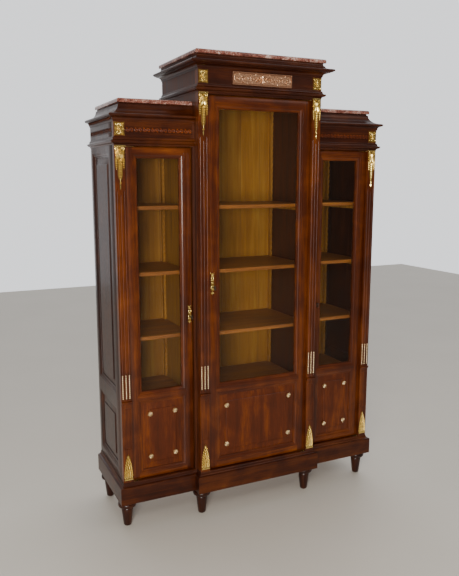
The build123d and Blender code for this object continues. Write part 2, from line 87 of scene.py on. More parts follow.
class Wire:
    """A value or colour on its way through a material. Arithmetic on it adds Math nodes."""

    def __init__(self, finish, socket):
        self.finish, self.socket = finish, socket

    def maths(self, operation, *terms):
        node = self.finish.tree.nodes.new("ShaderNodeMath")
        node.operation = operation
        for socket, term in zip(node.inputs, terms):
            self.finish.feed(socket, term)
        return Wire(self.finish, node.outputs[0])

    def __add__(self, other):
        return self.maths("ADD", self, other)

    def __sub__(self, other):
        return self.maths("SUBTRACT", self, other)

    def __rsub__(self, other):
        return self.maths("SUBTRACT", other, self)

    def __mul__(self, other):
        return self.maths("MULTIPLY", self, other)

    def __truediv__(self, other):
        return self.maths("DIVIDE", self, other)

    __radd__ = __add__
    __rmul__ = __mul__


class Nodes:
    """A node tree, and the ways of adding to it."""

    def __init__(self, tree):
        self.tree = tree

    def feed(self, socket, value):
        if isinstance(value, Wire):
            self.tree.links.new(value.socket, socket)
        else:
            socket.default_value = value

    def node(self, kind, settings, inputs, output=0):
        node = self.tree.nodes.new(kind)
        for key, value in settings.items():
            if key == "stops":
                ramp = node.color_ramp.elements
                while len(ramp) < len(value):
                    ramp.new(0.5)
                for stop, (position, colour) in zip(ramp, value):
                    stop.position, stop.color = position, (*colour, 1.0)
            else:
                setattr(node, key, value)
        for key, value in inputs.items():
            self.feed(node.inputs[key], value)
        return Wire(self, node.outputs[output])

    def place(self, stretch=(1, 1, 1), shift=(0, 0, 0)):
        """Object coordinates, squeezed or stretched along each axis."""
        spot = self.node("ShaderNodeTexCoord", {}, {}, "Object")
        return self.node("ShaderNodeMapping", {}, {"Vector": spot, "Scale": stretch, "Location": shift})

    def noise(self, spot, scale, detail=3.0, roughness=0.5, twist=0.0):
        return self.node("ShaderNodeTexNoise", {},
                         {"Vector": spot, "Scale": scale, "Detail": detail, "Roughness": roughness,
                          "Distortion": twist})

    def axis(self, spot, name):
        return self.node("ShaderNodeSeparateXYZ", {}, {"Vector": spot}, name)

    def ramp(self, value, *stops):
        return self.node("ShaderNodeValToRGB", {"stops": stops}, {"Fac": value})

    def mix(self, amount, first, second):
        return self.node("ShaderNodeMix", {"data_type": "RGBA"}, {0: amount, 6: first, 7: second}, 2)

    def clamp(self, value, low, high, to_low=0.0, to_high=1.0, curve="LINEAR"):
        return self.node("ShaderNodeMapRange", {"interpolation_type": curve},
                         {"Value": value, "From Min": low, "From Max": high, "To Min": to_low,
                          "To Max": to_high})


class Finish(Nodes):
    """One material: a shader with its constants, and the nodes that vary it."""

    def __init__(self, name, **constants):
        self.material = bpy.data.materials.new(name)
        self.material.use_nodes = True
        super().__init__(self.material.node_tree)
        self.shader = self.tree.nodes["Principled BSDF"]
        for socket, value in constants.items():
            self.shader.inputs[socket.replace("_", " ")].default_value = value

    def bump(self, height, depth, strength=1.0):
        relief = self.node("ShaderNodeBump", {},
                           {"Height": height, "Distance": depth, "Strength": strength})
        self.wear(Normal=relief)

    def wear(self, **inputs):
        for socket, value in inputs.items():
            self.feed(self.shader.inputs[socket.replace("_", " ")], value)


# Light: a pale wall's glow from behind and the sides, a dim room in front so the polish stays
# deep, and large soft lamps high on the viewer's side.
softbox("window_light", (-1.8, -3.6, 3.6), (1.8, 1.2), 48.0)
softbox("fill_light", (2.2, -3.0, 4.0), (1.8, 1.8), 22.0)
softbox("low_light", (-2.6, -4.2, 1.5), (1.4, 1.4), 185.0, (0.0, 0.0, 0.9))

world = bpy.data.worlds.new("pale_room")
bpy.context.scene.world = world
world.use_nodes = True
sky = Nodes(world.node_tree)
way = sky.node("ShaderNodeTexCoord", {}, {}, "Generated")
rightward = sky.axis(way, "X")
backward = sky.axis(way, "Y")
glow = (sky.clamp(backward, -0.5, 0.35, 0.0, 1.0, "SMOOTHSTEP")
        * sky.clamp(rightward, -0.50, 0.06, 0.13, 1.0, "SMOOTHSTEP"))
backdrop = sky.tree.nodes["Background"].inputs
sky.feed(backdrop["Color"], sky.mix(glow, (0.20, 0.19, 0.18, 1), (1.32, 1.34, 1.38, 1)))
backdrop["Strength"].default_value = 1.0

floor_finish = Finish("pale_floor", Roughness=0.55)
drift = floor_finish.noise(floor_finish.place(), 1.5)
floor_finish.wear(Base_Color=floor_finish.mix(drift, (0.60, 0.55, 0.47, 1), (0.66, 0.61, 0.53, 1)))
floor.data.materials.append(floor_finish.material)

# ------------------------------------------------------------
# Mahogany, French polished: red-brown, with long streaks and fine dark pores along the grain,
# and a hard thin gloss. One finish for each way the grain runs.
GRAIN = {"upright": (1.0, 1.0, 0.05), "across": (0.05, 1.0, 1.0), "deep": (1.0, 0.05, 1.0)}


def mahogany(name, stretch, depth, gloss=0.30, figure=0.35, contrast=0.85, shift=(0, 0, 0)):
    """Polished mahogany. Depth scales the wood's brightness; some copies use it for painted shade (darker)
    and one for a painted highlight (brighter). Gloss is the weight of the polish.
    """
    wood = Finish(name, Specular_IOR_Level=0.22, Coat_Roughness=0.09, Coat_IOR=1.45, Coat_Weight=gloss)
    grain = wood.place(stretch, shift)
    broad = wood.noise(grain, 26.0, 4.0, 0.55, 0.4)
    streak = wood.noise(grain, 150.0, 5.0, 0.6)
    pores = wood.noise(grain, 1500.0, 2.0, 0.5)
    cloud = wood.noise(wood.place(), 7.0, 3.0, 0.5, 0.8)
    tone = wood.clamp(broad * 0.55 + streak * 0.3 + cloud * figure, 0.40, 0.82)
    tone = (tone - 0.45) * contrast + 0.45
    colour = wood.ramp(tone, (0.0, (0.014 * depth, 0.0022 * depth, 0.0003)),
                       (0.42, (0.050 * depth, 0.0085 * depth, 0.0008)),
                       (0.75, (0.120 * depth, 0.0265 * depth, 0.0020)),
                       (1.0, (0.240 * depth, 0.0750 * depth, 0.0060)))
    pits = wood.clamp(pores, 0.60, 0.72)
    colour = wood.mix(pits * 0.55, colour, (0.012, 0.002, 0.0005, 1))
    polish = wood.noise(wood.place(), 60.0, 4.0)
    wood.wear(Base_Color=colour, Roughness=0.28 + polish * 0.14)
    wood.bump(0.7 * (1.0 - pits) + streak * 0.3, 0.00012, 0.5)
    return wood.material


UPRIGHT = mahogany("mahogany_upright", GRAIN["upright"], 1.25, 0.24)
ACROSS = mahogany("mahogany_across", GRAIN["across"], 1.25, 0.24)


def made(add, **settings):
    """Adds one primitive, with its place in its mesh."""
    bpy.ops.object.select_all(action="DESELECT")
    add(**settings)
    bpy.ops.object.transform_apply(location=True, rotation=True, scale=True)
    return bpy.context.object


def inset(thickness, depth=0.0):
    bpy.ops.mesh.inset(thickness=thickness, depth=depth, use_even_offset=True)


def facing_front(centre, normal):
    return normal.y < -0.9


def edit(piece):
    only(piece)
    bpy.ops.object.mode_set(mode="EDIT")
    bpy.ops.mesh.select_mode(type="FACE")


def pick(piece, test, kind="faces"):
    """In edit mode, selects the faces, edges or verts whose centre (and normal) pass the test."""
    mesh = bmesh.from_edit_mesh(piece.data)
    bpy.ops.mesh.select_all(action="DESELECT")
    for part in getattr(mesh, kind):
        if kind == "faces":
            chosen = test(part.calc_center_median(), part.normal)
        elif kind == "verts":
            chosen = test(part.co)
        else:
            chosen = test((part.verts[0].co + part.verts[1].co) / 2, part.verts[1].co - part.verts[0].co)
        if chosen:
            part.select_set(True)
    mesh.select_flush_mode()
    bmesh.update_edit_mesh(piece.data)


def leave(piece):
    """Closes the edit with every normal outward."""
    bpy.ops.mesh.select_all(action="SELECT")
    bpy.ops.mesh.normals_make_consistent(inside=False)
    bpy.ops.object.mode_set(mode="OBJECT")
    return piece


def finish(piece, name, body, slot, materials, replaced=(), smooth=35.0, soften=0.0):
    """Gives a finished shape its name, eased edges, material and body. The slot argument is not used."""
    only(piece)
    piece.name = piece.data.name = name
    if soften:
        eased = piece.modifiers.new("eased_edges", "BEVEL")
        eased.width, eased.segments, eased.limit_method = soften, 2, "ANGLE"
        eased.angle_limit = radians(40)
        bpy.ops.object.modifier_apply(modifier="eased_edges")
    bpy.ops.object.shade_smooth_by_angle(angle=radians(smooth))
    for material in materials:
        piece.data.materials.append(material)
    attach(piece, body)
    if replaced:
        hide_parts(*replaced)


def join(pieces):
    bpy.ops.object.select_all(action="DESELECT")
    for piece in pieces:
        piece.select_set(True)
    bpy.context.view_layer.objects.active = pieces[0]
    bpy.ops.object.join()
    return pieces[0]


def board(low, high):
    """A plain board between two corners, its place in its mesh."""
    return made(bpy.ops.mesh.primitive_cube_add, size=1.0, scale=[b - a for a, b in zip(low, high)],
                location=[(a + b) / 2 for a, b in zip(low, high)])


# ------------------------------------------------------------
# Six turned feet, mahogany, dowelled up into the plinth: a torus collar over a tapering body
# that rounds in at the floor.
feet_low, feet_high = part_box("feet")
COLLAR = 45 * MM
BREAK = 43 * MM
CENTRE_FOOT = 303 * MM
foot_places = []
for hand in (-1, 1):
    foot_places.append((hand * (feet_high[0] - COLLAR), feet_low[1] + COLLAR + BREAK))
    foot_places.append((hand * CENTRE_FOOT, feet_low[1] + COLLAR))
    foot_places.append((hand * (feet_high[0] - COLLAR - 1 * MM), feet_high[1] - COLLAR))


def turned(centre, outline):
    """A piece turned on the lathe, from a list of (radius, height), from one end to the other."""
    radius, height = outline[0]
    piece = made(bpy.ops.mesh.primitive_circle_add, vertices=40, radius=radius, fill_type="NGON",
                 location=(*centre, height))
    edit(piece)
    for next_radius, next_height in outline[1:]:
        bpy.ops.mesh.extrude_region_move(TRANSFORM_OT_translate={"value": (0, 0, next_height - height)})
        ratio = next_radius / radius
        bpy.ops.transform.resize(value=(ratio, ratio, 1), center_override=(*centre, next_height))
        radius, height = next_radius, next_height
    return leave(piece)


def quarter(start, end, leaves, steps=6):
    """Points of a quarter round from start to end, without start. It leaves start going
    'out' (level) or 'up' (plumb)."""
    points = []
    for step in range(1, steps + 1):
        angle = step / steps * pi / 2
        across, along = (sin(angle), 1 - cos(angle)) if leaves == "out" else (1 - cos(angle), sin(angle))
        points.append((start[0] + (end[0] - start[0]) * across, start[1] + (end[1] - start[1]) * along))
    return points


def bulge(start, end, out, steps=8):
    """A half round between two points one above the other, standing out by `out`."""
    return [(start[0] + (end[0] - start[0]) * s / steps + out * sin(pi * s / steps),
             start[1] + (end[1] - start[1]) * (1 - cos(pi * s / steps)) / 2) for s in range(1, steps + 1)]


def scaled(points):
    return [(a * MM, b * MM) for a, b in points]


foot_outline = scaled([(10, 0), (14, 0.8), (17.5, 3.2), (19.5, 7), (23.6, 44), (27.4, 76), (28.4, 84),
                       (28.2, 89), (26.8, 93.5), (24.8, 96), (24.6, 99), (26, 100), (38.5, 100.5)]
                      + bulge((38.5, 100.5), (38.5, 123.5), 6.5, 10) + [(37.5, 125), (37.5, 134.4)])
feet = [turned(place, foot_outline) for place in foot_places]
# The feet take a darker copy of the mahogany: painted shade, the shadow under the plinth.
finish(join(feet), "turned_feet", "carcass", "mahogany",
       [mahogany("mahogany_turned_painted_shade", GRAIN["upright"], 0.5, figure=0.3)], ["feet"], 50)

# ------------------------------------------------------------
# Plinth, architraves and cornices: mahogany mouldings run in lengths and mitred round the
# breakfront, glued to the carcass and capped by the marble.
body_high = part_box("side_frames")[1]
centre_low, centre_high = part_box("pilasters_centre")
LEDGE_REACH = 8 * MM
HALF_WIDTH = body_high[0]
HALF_CENTRE = centre_high[0]
BACK = body_high[1]
FRONT_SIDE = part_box("pilasters_side")[0][1] + LEDGE_REACH
FRONT_CENTRE = centre_low[1] + LEDGE_REACH


def mitred_run(stations, profile):
    """A moulding run from corner to corner. A station is (x, y, outward x, outward y): its mitre
    pulls each profile point (reach, height) outwards along those."""
    piece = made(bpy.ops.mesh.primitive_circle_add, vertices=len(profile), fill_type="NGON")
    edit(piece)
    mesh = bmesh.from_edit_mesh(piece.data)
    number = mesh.verts.layers.int.new("profile_point")
    for index, vert in enumerate(mesh.verts):
        vert[number] = index
    for count, (x, y, out_x, out_y) in enumerate(stations):
        if count:
            bpy.ops.mesh.extrude_region_move()
            mesh = bmesh.from_edit_mesh(piece.data)
            number = mesh.verts.layers.int["profile_point"]
        for vert in mesh.verts:
            if vert.select or not count:
                reach, height = profile[vert[number]]
                vert.co = (x + out_x * reach, y + out_y * reach, height)
        bmesh.update_edit_mesh(piece.data)
    return leave(piece)


def side_stations(hand):
    return [(hand * HALF_WIDTH, BACK, hand, 0), (hand * HALF_WIDTH, FRONT_SIDE, hand, -1),
            (hand * HALF_CENTRE, FRONT_SIDE, 0, -1)]


CENTRE_STATIONS = [(-HALF_CENTRE, BACK, -1, 0), (-HALF_CENTRE, FRONT_CENTRE, -1, -1),
                   (HALF_CENTRE, FRONT_CENTRE, 1, -1), (HALF_CENTRE, BACK, 1, 0)]
PLINTH_STATIONS = [(-HALF_WIDTH, BACK, -1, 0), (-HALF_WIDTH, FRONT_SIDE, -1, -1),
                   (-HALF_CENTRE, FRONT_SIDE, -1, -1), *CENTRE_STATIONS[1:3],
                   (HALF_CENTRE, FRONT_SIDE, 1, -1), (HALF_WIDTH, FRONT_SIDE, 1, -1),
                   (HALF_WIDTH, BACK, 1, 0)]


def moulding(piece, name, node):
    """Finishes a run. Its sides take the grain that runs to the back, in a darker copy: painted shade on
    the sides; its front, the one across.
    """
    finish(piece, name, "carcass", "mahogany", SHADED_RUN_FINISHES, [node], 25)
    for face in piece.data.polygons:
        face.material_index = 1 if abs(face.normal.x) > abs(face.normal.y) + 0.01 else 0


# The mouldings and frieze take darker copies of the mahogany, painted shade; the copy for the sideways
# faces is darker still.
SHADED_RUN_FINISHES = [mahogany("moulding_mahogany_across_painted_shade", GRAIN["across"], 0.72, 0.12),
                mahogany("moulding_mahogany_deep_painted_shade", GRAIN["deep"], 0.58, 0.16)]
plinth_profile = scaled([(-24, 134.5), (18, 134.5), (19, 135.5), (19, 214.5), (18.5, 217)]
                        + quarter((18.5, 217), (13, 221), "up", 3)
                        + [(12.2, 221.2)] + quarter((12.2, 221.2), (2.5, 236), "out", 8)
                        + [(2, 236.5), (0.5, 239.5), (-24, 240)])
plinth = mitred_run(PLINTH_STATIONS, plinth_profile)
moulding(plinth, "plinth_moulding", "plinth")


def architrave_profile(base, reach):
    rise = [(-4, base), (0, base), (1.5, base + 0.5)]
    rise += quarter((1.5, base + 0.5), (reach - 4, base + 9), "up", 7)
    rise += [(reach - 3.5, base + 11)] + bulge((reach - 3, base + 12), (reach - 3, base + 20), 3, 6)
    rise += [(reach - 5, base + 20.5)] + quarter((reach - 5, base + 20.5), (5, base + 31), "out", 7)
    return scaled(rise + [(5, base + 33), (1, base + 35), (0.5, base + 37), (-4, base + 37)])


runs = [mitred_run(side_stations(hand), architrave_profile(1826, 17)) for hand in (-1, 1)]
runs.append(mitred_run(CENTRE_STATIONS, architrave_profile(2066, 18)))
architraves = join(runs)
moulding(architraves, "architrave_mouldings", "architraves")

side_profile = scaled([(-60, 1926), (0, 1926), (1.5, 1927)]
                      + quarter((1.5, 1927), (4, 1931), "up", 3) + [(4, 1933)]
                      + quarter((4, 1933), (16, 1947), "up", 8) + [(17, 1948), (22, 1949), (22, 1950.5)]
                      + bulge((22, 1950.5), (22, 1959), 3, 6) + [(20, 1961)]
                      + quarter((20, 1961), (-32, 2005), "out", 16)
                      + [(-37, 2006), (-38.5, 2012), (-60, 2012)])
cornice = join([mitred_run(side_stations(hand), side_profile) for hand in (-1, 1)])
moulding(cornice, "side_cornices", "cornice_sides")

centre_profile = scaled([(-60, 2164), (0, 2164), (1.5, 2165)]
                        + quarter((1.5, 2165), (5, 2170), "up", 3) + [(5, 2172)]
                        + quarter((5, 2172), (30, 2186), "up", 9) + [(31, 2187), (41, 2190), (41.5, 2191.5)]
                        + bulge((43.5, 2192), (43.5, 2202), 4.5, 8) + [(42, 2203)]
                        + quarter((42, 2203), (12, 2216), "out", 8) + [(11, 2218), (8, 2219)]
                        + quarter((8, 2219), (5, 2229), "out", 5) + [(5, 2231), (-60, 2231)])
cornice = mitred_run(CENTRE_STATIONS, centre_profile)
moulding(cornice, "centre_cornice", "cornice_centre")

# ------------------------------------------------------------
# Marble tops, one loose slab on each section: mottled red with pink and white, polished, the
# front and outer edges thumb-moulded.
marble = Finish("red_marble", Specular_IOR_Level=0.5, Coat_Weight=0.6, Coat_Roughness=0.08)
spot = marble.place()
drift = marble.noise(spot, 9.0, 5.0, 0.6, 1.2)
blotch = marble.noise(spot, 110.0, 6.0, 0.68, 1.2)
vein = marble.node("ShaderNodeTexVoronoi", {"feature": "DISTANCE_TO_EDGE"},
                   {"Vector": marble.mix(0.05, spot, marble.noise(spot, 30.0, 4.0)), "Scale": 42.0})
body = marble.ramp(blotch * 0.7 + drift * 0.3, (0.36, (0.045, 0.014, 0.010)),
                   (0.46, (0.15, 0.040, 0.026)), (0.53, (0.30, 0.105, 0.070)), (0.59, (0.56, 0.36, 0.28)),
                   (0.65, (0.80, 0.68, 0.60)))
seam = marble.clamp(vein, 0.0, 0.05, 1.0, 0.0) * marble.clamp(drift, 0.45, 0.6)
marble.wear(Base_Color=marble.mix(seam * 0.7, body, (0.78, 0.66, 0.60, 1)), Roughness=0.16 + blotch * 0.12)

for node, name in (("marble_centre", "centre_marble"), ("marble_sides", "side_marbles")):
    low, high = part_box(node)
    spans = [(low[0], high[0])]
    if node == "marble_sides":
        spans = [(low[0], -HALF_CENTRE), (HALF_CENTRE, high[0])]
    slabs = []
    for left, right in spans:
        slab = board((left, low[1], low[2]), (right, high[1], high[2]))
        edit(slab)

        def shaped(centre, run, left=left, right=right, high=high, low=low):
            outer = abs(centre.x - left) < 1e-5 or abs(centre.x - right) < 1e-5
            seam_side = abs(abs(centre.x) - HALF_CENTRE) < 1e-5 and low[0] < -0.5
            front = abs(centre.y - low[1]) < 1e-5
            level = abs(run.z) < 1e-6
            return level and (front or (outer and not seam_side)) and centre.z > high[2] - 1e-5

        pick(slab, shaped, "edges")
        bpy.ops.mesh.bevel(offset=9 * MM, segments=6, profile=0.55, affect="EDGES")
        pick(slab, lambda centre, run, shaped=shaped, high=high, low=low:
             shaped(centre + Vector((0, 0, high[2] - low[2])), run), "edges")
        bpy.ops.mesh.bevel(offset=3 * MM, segments=3, affect="EDGES")
        bpy.ops.object.mode_set(mode="OBJECT")
        slabs.append(slab)
    whole = join(slabs) if len(slabs) > 1 else slabs[0]
    finish(whole, name, "carcass", "marble", [marble.material], [node], 30)

# ------------------------------------------------------------
# Doors: mahogany stiles and rails, tenoned, with an ogee run on the inner edges. The same joinery
# serves the outer walls of the case.
OGEE = 22.0 * MM
OGEE_DROP = 5.7 * MM
REBATE = 7.0 * MM
REBATE_DEPTH = 12.0 * MM


def framed(low, high, openings):
    """A frame facing -Y with an ogee round each opening, given as (x low, x high, z low, z high)
    at the sight edge. Behind, each opening is rebated."""
    piece = board(low, high)
    edit(piece)
    cuts = []
    for x_low, x_high, z_low, z_high in openings:
        cuts += [((x_low - OGEE, 0, 0), (1, 0, 0)), ((x_high + OGEE, 0, 0), (1, 0, 0)),
                 ((0, 0, z_low - OGEE), (0, 0, 1)), ((0, 0, z_high + OGEE), (0, 0, 1))]
    for through, normal in cuts:
        bpy.ops.mesh.select_all(action="SELECT")
        bpy.ops.mesh.bisect(plane_co=through, plane_no=normal)
    bpy.ops.mesh.select_all(action="SELECT")
    bpy.ops.mesh.remove_doubles(threshold=1e-6)
    steps = 10
    for x_low, x_high, z_low, z_high in openings:
        def inside(centre, x_low=x_low, x_high=x_high, z_low=z_low, z_high=z_high):
            return (x_low - OGEE < centre.x < x_high + OGEE
                    and z_low - OGEE < centre.z < z_high + OGEE)

        def face_on(side):
            return lambda centre, normal: inside(centre) and normal.y * side > 0.9

        pick(piece, face_on(-1))
        inset(0.4 * MM, -1.8 * MM)
        run = OGEE - 0.4 * MM - 2.4 * MM
        last = 0.0
        for step in range(1, steps + 1):
            share = step / steps
            drop = share - sin(2 * pi * share) / (2 * pi)
            inset(run / steps, -(drop - last) * OGEE_DROP)
            last = drop
        inset(0.3 * MM, -2.0 * MM)
        inset(2.1 * MM)
        bpy.ops.mesh.delete(type="FACE")
        pick(piece, face_on(1))
        inset(OGEE - REBATE)
        inset(0.05 * MM, -(high[1] - low[1] - REBATE_DEPTH))
        inset(REBATE - 0.05 * MM)
        bpy.ops.mesh.delete(type="FACE")
        bpy.ops.mesh.select_mode(type="EDGE")
        mesh = bmesh.from_edit_mesh(piece.data)
        bpy.ops.mesh.select_all(action="DESELECT")
        for edge in mesh.edges:
            if edge.is_boundary:
                edge.select_set(True)
        bmesh.update_edit_mesh(piece.data)
        bpy.ops.mesh.bridge_edge_loops()
        bpy.ops.mesh.select_mode(type="FACE")
    return leave(piece)


def cut(piece, cutters):
    """Takes the cutters' shapes out of a piece, and the cutters away."""
    cutter = join(cutters)
    only(piece)
    taken = piece.modifiers.new("cut", "BOOLEAN")
    taken.operation, taken.object, taken.solver = "DIFFERENCE", cutter, "EXACT"
    bpy.ops.object.modifier_apply(modifier="cut")
    bpy.data.objects.remove(cutter)


def room_for(node, clearance, reach=0.0):
    """A block round a CAD node with clearance, drawn out sideways by reach."""
    low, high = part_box(node)
    low, high = [edge - clearance for edge in low], [edge + clearance for edge in high]
    low[0], high[0] = low[0] + min(reach, 0), high[0] + max(reach, 0)
    return board(low, high)


def grain_by_joint(piece, x_low, x_high):
    """Stiles run full height outside these x; rails lie between them."""
    for face in piece.data.polygons:
        normal, centre = face.normal, face.center
        if abs(normal.x) > abs(normal.z) + 0.02:
            stile = True
        elif abs(normal.z) > abs(normal.x) + 0.02:
            stile = not x_low - OGEE < centre.x < x_high + OGEE
        else:
            stile = centre.x < x_low - OGEE + 1e-5 or centre.x > x_high + OGEE - 1e-5
        face.material_index = 0 if stile else 1


JOINT_FINISHES = [UPRIGHT, ACROSS]
panel_finish = mahogany("mahogany_panel", (1.0, 1.0, 0.12), 1.6, 0.18, 0.30, 0.6, (0.3, 0.0, 0.7))


def fielded(low, high, margin, rise):
    """A panel facing -Y: a flat lip in the groove, a sloping margin and a raised field."""
    piece = board(low, high)
    edit(piece)
    pick(piece, facing_front)
    inset(8 * MM)
    inset(margin, rise * 0.6)
    inset(0.3 * MM, rise * 0.25)
    for turn in range(4):
        inset(0.5 * MM, rise * 0.0375)
    return leave(piece)


doors = {}
# Each keyhole's x, then its mount's half width, foot and top, and the keyhole's height, in mm.
KEYHOLES = {"left": (-354.6, 11, 987, 1081, 1024), "centre": (-255, 13, 1121, 1239, 1166),
            "right": (354.6, 11, 987, 1081, 1024)}
TONGUE = 6.5 * MM
GLASS_LAP = 6.9 * MM
GROOVE = 11.6 * MM
BOLT_ROOM = 14 * MM
for section in ("left", "centre", "right"):
    door = f"door_{section}"
    low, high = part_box(f"{door}_frame")
    glass_low, glass_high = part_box(f"{door}_glass")
    lower_low, lower_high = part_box(f"{door}_panel")
    glass = (glass_low[0] + GLASS_LAP, glass_high[0] - GLASS_LAP,
             glass_low[2] + GLASS_LAP, glass_high[2] - GLASS_LAP)
    lower = (lower_low[0] + TONGUE, lower_high[0] - TONGUE, lower_low[2] + TONGUE, lower_high[2] - TONGUE)
    doors[section] = (low[1], lower)
    frame_piece = framed(low, high, [glass, lower])
    key_low, key_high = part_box(f"{door}_key")
    keyway = made(bpy.ops.mesh.primitive_cylinder_add, vertices=24, radius=3.1 * MM, depth=16 * MM,
                  rotation=(pi / 2, 0, 0), location=((key_low[0] + key_high[0]) / 2, low[1] + 6 * MM,
                                                     KEYHOLES[section][4] * MM))
    free_side = 1 if section == "left" else -1
    cut(frame_piece, [keyway])
    cut(frame_piece, [room_for(f"{door}_lock", 0.2 * MM)])
    cut(frame_piece, [room_for(f"{door}_bolt", 0.3 * MM, free_side * BOLT_ROOM)])
    finish(frame_piece, f"{door}_joinery", door, "mahogany", JOINT_FINISHES, [f"{door}_frame"], 30,
           0.6 * MM)
    grain_by_joint(frame_piece, glass[0], glass[1])
    groove = low[1] + GROOVE
    panel = fielded((lower_low[0], groove, lower_low[2]), (lower_high[0], groove + 5 * MM, lower_high[2]),
                    31 * MM, groove - lower_low[1])
    finish(panel, f"{door}_fielded_panel", door, "mahogany", [panel_finish], [f"{door}_panel"], 20)

# ------------------------------------------------------------
# Outer walls: the same framing turned to face sideways, with a tall and a short fielded panel.
# The walls take darker copies of the mahogany: painted shade on the case's sides.
SHADED_WALL_FINISHES = [mahogany("wall_mahogany_upright_painted_shade", GRAIN["upright"], 0.5, 0.18),
                 mahogany("wall_mahogany_deep_painted_shade", GRAIN["deep"], 0.5, 0.18)]
panels_low, panels_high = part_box("side_panels")
frames_low, frames_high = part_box("side_frames")
SIDE_OPENINGS = ((282 * MM + OGEE, 592 * MM - OGEE), (665 * MM + OGEE, 1797 * MM - OGEE))
LIP = 6 * MM
walls, fields = [], []
for hand in (-1, 1):
    front, rear = hand * frames_low[1], hand * frames_high[1]
    low = (min(front, rear), -frames_high[0], frames_low[2])
    high = (max(front, rear), -frames_high[0] + 24 * MM, frames_high[2])
    span = sorted((hand * panels_low[1], hand * panels_high[1]))
    openings = [(span[0] + OGEE, span[1] - OGEE, z_low, z_high) for z_low, z_high in SIDE_OPENINGS]
    wall = framed(low, high, openings)
    grain_by_joint(wall, openings[0][0], openings[0][1])
    walls.append(wall)
    pieces = [wall]
    for x_low, x_high, z_low, z_high in openings:
        field = fielded((x_low - LIP, low[1] + GROOVE, z_low - LIP),
                        (x_high + LIP, low[1] + 17 * MM, z_high + LIP), 28 * MM, 6.6 * MM)
        fields.append(field)
        pieces.append(field)
    for piece in pieces:
        only(piece)
        piece.rotation_euler.z = radians(90) * hand
        bpy.ops.object.transform_apply(rotation=True)
finish(join(walls), "outer_wall_frames", "carcass", "mahogany", SHADED_WALL_FINISHES, ["side_frames"], 30,
       0.6 * MM)
finish(join(fields), "outer_wall_panels", "carcass", "mahogany", [SHADED_WALL_FINISHES[0]], ["side_panels"], 20)

# ------------------------------------------------------------
# Pilasters: four solid mahogany posts, each with three round-ended flutes above a small moulded
# ledge at the waist, and a sunk panel below it.
HALF_POST = 25 * MM
FLUTE_SPACING = 16.4 * MM
FLUTE_RADIUS = 5.6 * MM
FLUTE_FOOT = 655 * MM
PENDANT_TOPS = {"side": 1825 * MM, "centre": 2066 * MM}
posts = {"side": [], "centre": []}
pilasters = []
for kind, half, face in (("side", HALF_WIDTH, FRONT_SIDE), ("centre", HALF_CENTRE, FRONT_CENTRE)):
    low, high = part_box(f"pilasters_{kind}")
    for hand in (-1, 1):
        middle = hand * (half - HALF_POST)
        pilasters.append((kind, middle, face))
        post = board((middle - HALF_POST, face, low[2]), (middle + HALF_POST, face + 30 * MM, high[2]))
        edit(post)
        for level in (400 * MM, 620 * MM):
            bpy.ops.mesh.select_all(action="SELECT")
            bpy.ops.mesh.bisect(plane_co=(0, 0, level), plane_no=(0, 0, 1))
        pick(post, lambda centre, normal: normal.y < -0.9 and 0.4 < centre.z < 0.62)
        inset(7 * MM)
        inset(1.2 * MM, -1.2 * MM)
        inset(0.5 * MM, -1.4 * MM)
        bpy.ops.object.mode_set(mode="OBJECT")
        cutters = []
        for step in (-1, 0, 1):
            top = PENDANT_TOPS[kind] - (197 if step else 215) * MM
            flute = middle + step * FLUTE_SPACING
            cutter = made(bpy.ops.mesh.primitive_uv_sphere_add, segments=28, ring_count=13,
                          radius=FLUTE_RADIUS, location=(flute, face - 1.0 * MM, FLUTE_FOOT + FLUTE_RADIUS))
            edit(cutter)
            pick(cutter, lambda spot: spot.z > FLUTE_FOOT + FLUTE_RADIUS, "verts")
            bpy.ops.transform.translate(value=(0, 0, top - FLUTE_FOOT - 2 * FLUTE_RADIUS))
            bpy.ops.object.mode_set(mode="OBJECT")
            cutters.append(cutter)
        cut(post, cutters)
        if kind == "centre" and hand < 0:
            cut(post, [room_for("door_centre_bolt", 1.0 * MM, -BOLT_ROOM)])
        posts[kind].append(post)
        ledge_profile = scaled([(-2, 630), (1, 630), (2, 631)] + quarter((2, 631), (6, 638), "up", 5)
                               + [(7.5, 638.5)] + bulge((7.5, 639), (7.5, 645), 0.5, 4)
                               + [(6, 645.5), (1, 648), (-2, 648)])
        ends = [(middle - HALF_POST, face, 0, -1), (middle + HALF_POST, face, 0, -1)]
        posts[kind].append(mitred_run(ends, ledge_profile))
for kind, parts in posts.items():
    finish(join(parts), f"{kind}_pilasters", "carcass", "mahogany", [UPRIGHT],
           [f"pilasters_{kind}"], 30)

# ------------------------------------------------------------
# Gilt bronze, cast and chased, pinned to the wood. Leaves, beads and rings are each modelled
# once and laid out over thin plates of a dim gilt, painted shade between them; hollows are painted darker,
# painted shade.
def metal(name, dark, bright, roughness):
    cast = Finish(name, Metallic=1.0)
    wear = cast.noise(cast.place(), 260.0, 4.0)
    # Painted shade: the colour darkens in the hollows, found by ambient occlusion.
    recess = cast.node("ShaderNodeAmbientOcclusion", {"samples": 4, "only_local": True},
                       {"Distance": 4 * MM}, "AO")
    shade = cast.clamp(recess * 0.95 + wear * 0.75 - 0.30, 0.25, 1.02)
    hollow_shade = [part * 0.22 for part in dark]
    cast.wear(Base_Color=cast.ramp(shade, (0.0, hollow_shade), (0.45, dark), (1.0, bright)),
              Roughness=roughness + (1.0 - shade) * 0.3)
    cast.bump(wear, 0.0002, 0.35)
    return cast.material


GILT = metal("gilt_bronze", (0.44, 0.255, 0.040), (1.0, 0.76, 0.26), 0.22)
